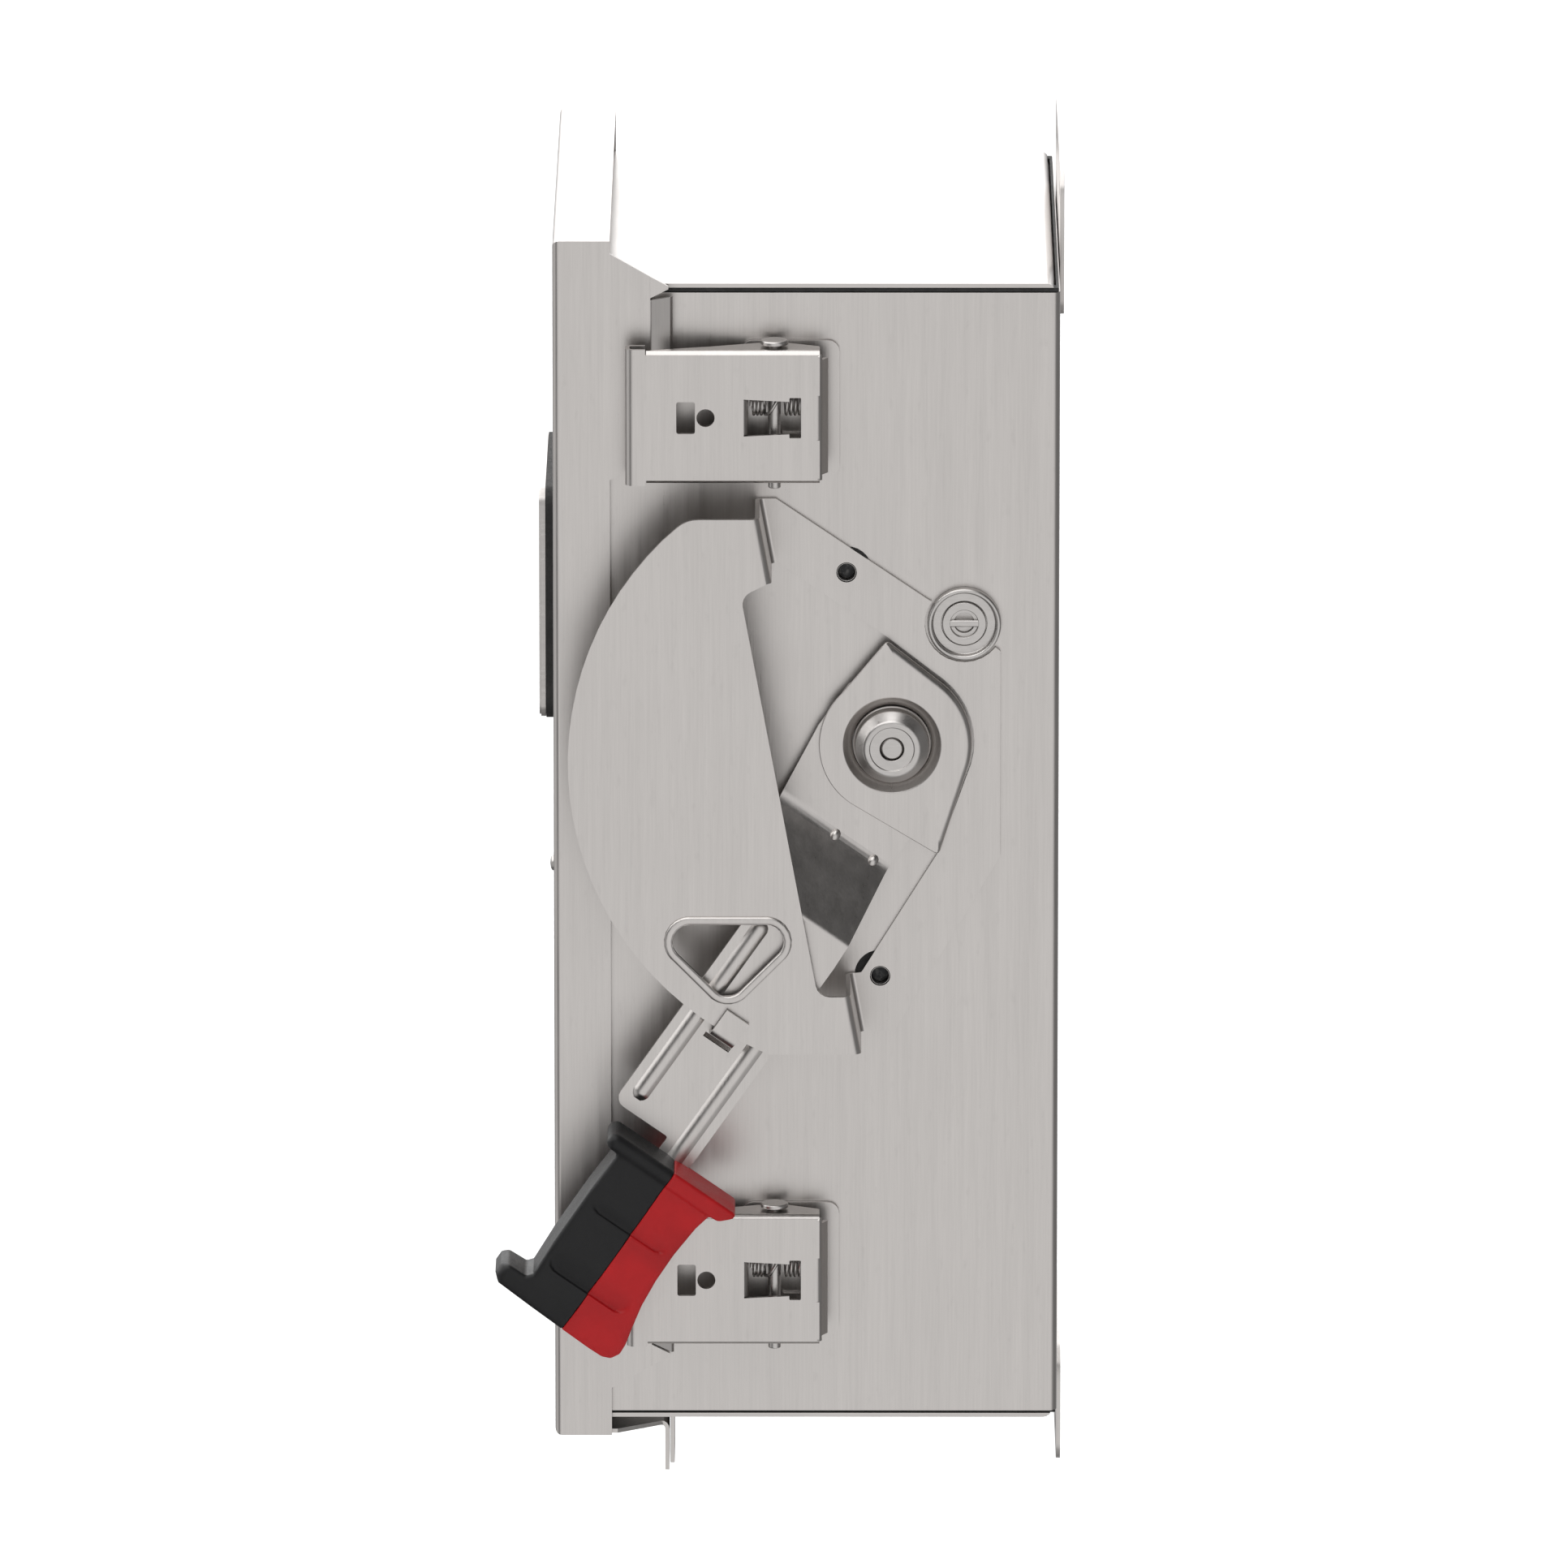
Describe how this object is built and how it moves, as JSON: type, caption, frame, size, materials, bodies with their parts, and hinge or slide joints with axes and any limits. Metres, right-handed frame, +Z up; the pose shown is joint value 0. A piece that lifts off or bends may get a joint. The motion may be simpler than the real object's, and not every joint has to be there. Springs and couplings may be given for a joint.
{
  "type": "enclosed safety switch",
  "caption": "Stainless wall-mounted enclosed safety switch: hinged windowed door, guarded side throw handle, spring draw latches and a blade switch inside.",
  "frame": {"origin": "centre of the lower mounting foot's back face, in the wall plane", "axes": "+Z up, +Y into the wall, -Y towards the door, +X towards the handle side"},
  "size_m": [0.2823, 0.2, 0.47],
  "materials": {
    "brushed_stainless": "vertical brushed grain, satin, bends a little brighter",
    "bright_steel": "turned and polished steel",
    "seal_rubber": "matt black rubber and sealant",
    "grip_black": "fine-textured moulded plastic",
    "grip_red": "satin moulded plastic",
    "clear_window": "clear polycarbonate",
    "insulating_plastic": "dark moulded insulation",
    "copper": "plain rolled copper",
    "aluminium": "extruded, as cut"
  },
  "bodies": {
    "enclosure": {"enclosure_shell": "brushed_stainless", "top_cap": "brushed_stainless", "bottom_cap": "brushed_stainless", "top_seam_seal": "seal_rubber", "bottom_seam_seal": "seal_rubber", "top_mounting_foot": "brushed_stainless", "bottom_mounting_foot": "brushed_stainless", "body_padlock_tab": "brushed_stainless", "handle_guard": "brushed_stainless", "interlock_boss": "bright_steel", "insulating_base": "insulating_plastic", "blade_hinge_rod": "bright_steel", "arc_chute": "insulating_plastic", "ground_bar": "aluminium", "body_hinge_leaf_upper": "brushed_stainless", "hinge_pin_upper": "bright_steel", "guard_rivet_upper": "bright_steel", "guard_seal_washer_upper": "seal_rubber", "latch_base_upper": "brushed_stainless", "latch_pin_upper": "bright_steel", "body_hinge_leaf_lower": "brushed_stainless", "hinge_pin_lower": "bright_steel", "guard_rivet_lower": "bright_steel", "guard_seal_washer_lower": "seal_rubber", "latch_base_lower": "brushed_stainless", "latch_pin_lower": "bright_steel", "line_terminal_1": "copper", "load_terminal_1": "copper", "line_terminal_2": "copper", "load_terminal_2": "copper", "line_terminal_3": "copper", "load_terminal_3": "copper"},
    "door": {"door_panel": "brushed_stainless", "door_gasket": "seal_rubber", "window_bezel": "seal_rubber", "window_trim": "bright_steel", "window_lens": "clear_window", "window_retainer": "brushed_stainless", "label_plate": "bright_steel", "door_rivet": "bright_steel", "door_hinge_leaf_upper": "brushed_stainless", "door_hinge_leaf_lower": "brushed_stainless"},
    "handle": {"handle_arm": "brushed_stainless", "hub_cam": "brushed_stainless", "hub_cap": "bright_steel", "operating_shaft": "bright_steel", "grip_black": "grip_black", "grip_red": "grip_red", "drive_crank": "brushed_stainless", "shaft_spring": "bright_steel"},
    "blade_rotor": {"blade_1": "copper", "blade_2": "copper", "blade_3": "copper", "blade_crossbar": "insulating_plastic"},
    "interlock_release": {"interlock_stud": "bright_steel", "interlock_hook": "brushed_stainless"},
    "upper_latch": {"latch_lever_upper": "brushed_stainless", "latch_spring_upper": "bright_steel"},
    "lower_latch": {"latch_lever_lower": "brushed_stainless", "latch_spring_lower": "bright_steel"}
  },
  "joints": [
    {"name": "door_hinge", "type": "hinge", "parent": "enclosure", "child": "door", "pos_m": [-0.117, -0.1564, 0.218], "axis": [0, 0, -1], "range_deg": [0, 110]},
    {"name": "handle_throw", "type": "hinge", "parent": "enclosure", "child": "handle", "pos_m": [0.1088, -0.0604, 0.2545], "axis": [-1, 0, 0], "range_deg": [0, 90]},
    {"name": "blade_turn", "type": "hinge", "parent": "enclosure", "child": "blade_rotor", "pos_m": [0, -0.048, 0.19], "axis": [-1, 0, 0], "range_deg": [0, 60]},
    {"name": "interlock_turn", "type": "hinge", "parent": "enclosure", "child": "interlock_release", "pos_m": [0.1088, -0.0351, 0.2971], "axis": [1, 0, 0], "range_deg": [0, 90]},
    {"name": "upper_latch_swing", "type": "hinge", "parent": "enclosure", "child": "upper_latch", "pos_m": [0.1178, -0.1015, 0.3744], "axis": [0, 0, 1], "range_deg": [0, 20], "stiffness_Nm_per_rad": 0.1},
    {"name": "lower_latch_swing", "type": "hinge", "parent": "enclosure", "child": "lower_latch", "pos_m": [0.1178, -0.1015, 0.0629], "axis": [0, 0, 1], "range_deg": [0, 8], "stiffness_Nm_per_rad": 0.1}
  ],
  "couplings": [
    {"joint": "blade_turn", "follows": "handle_throw", "ratio": 0.66666}
  ]
}
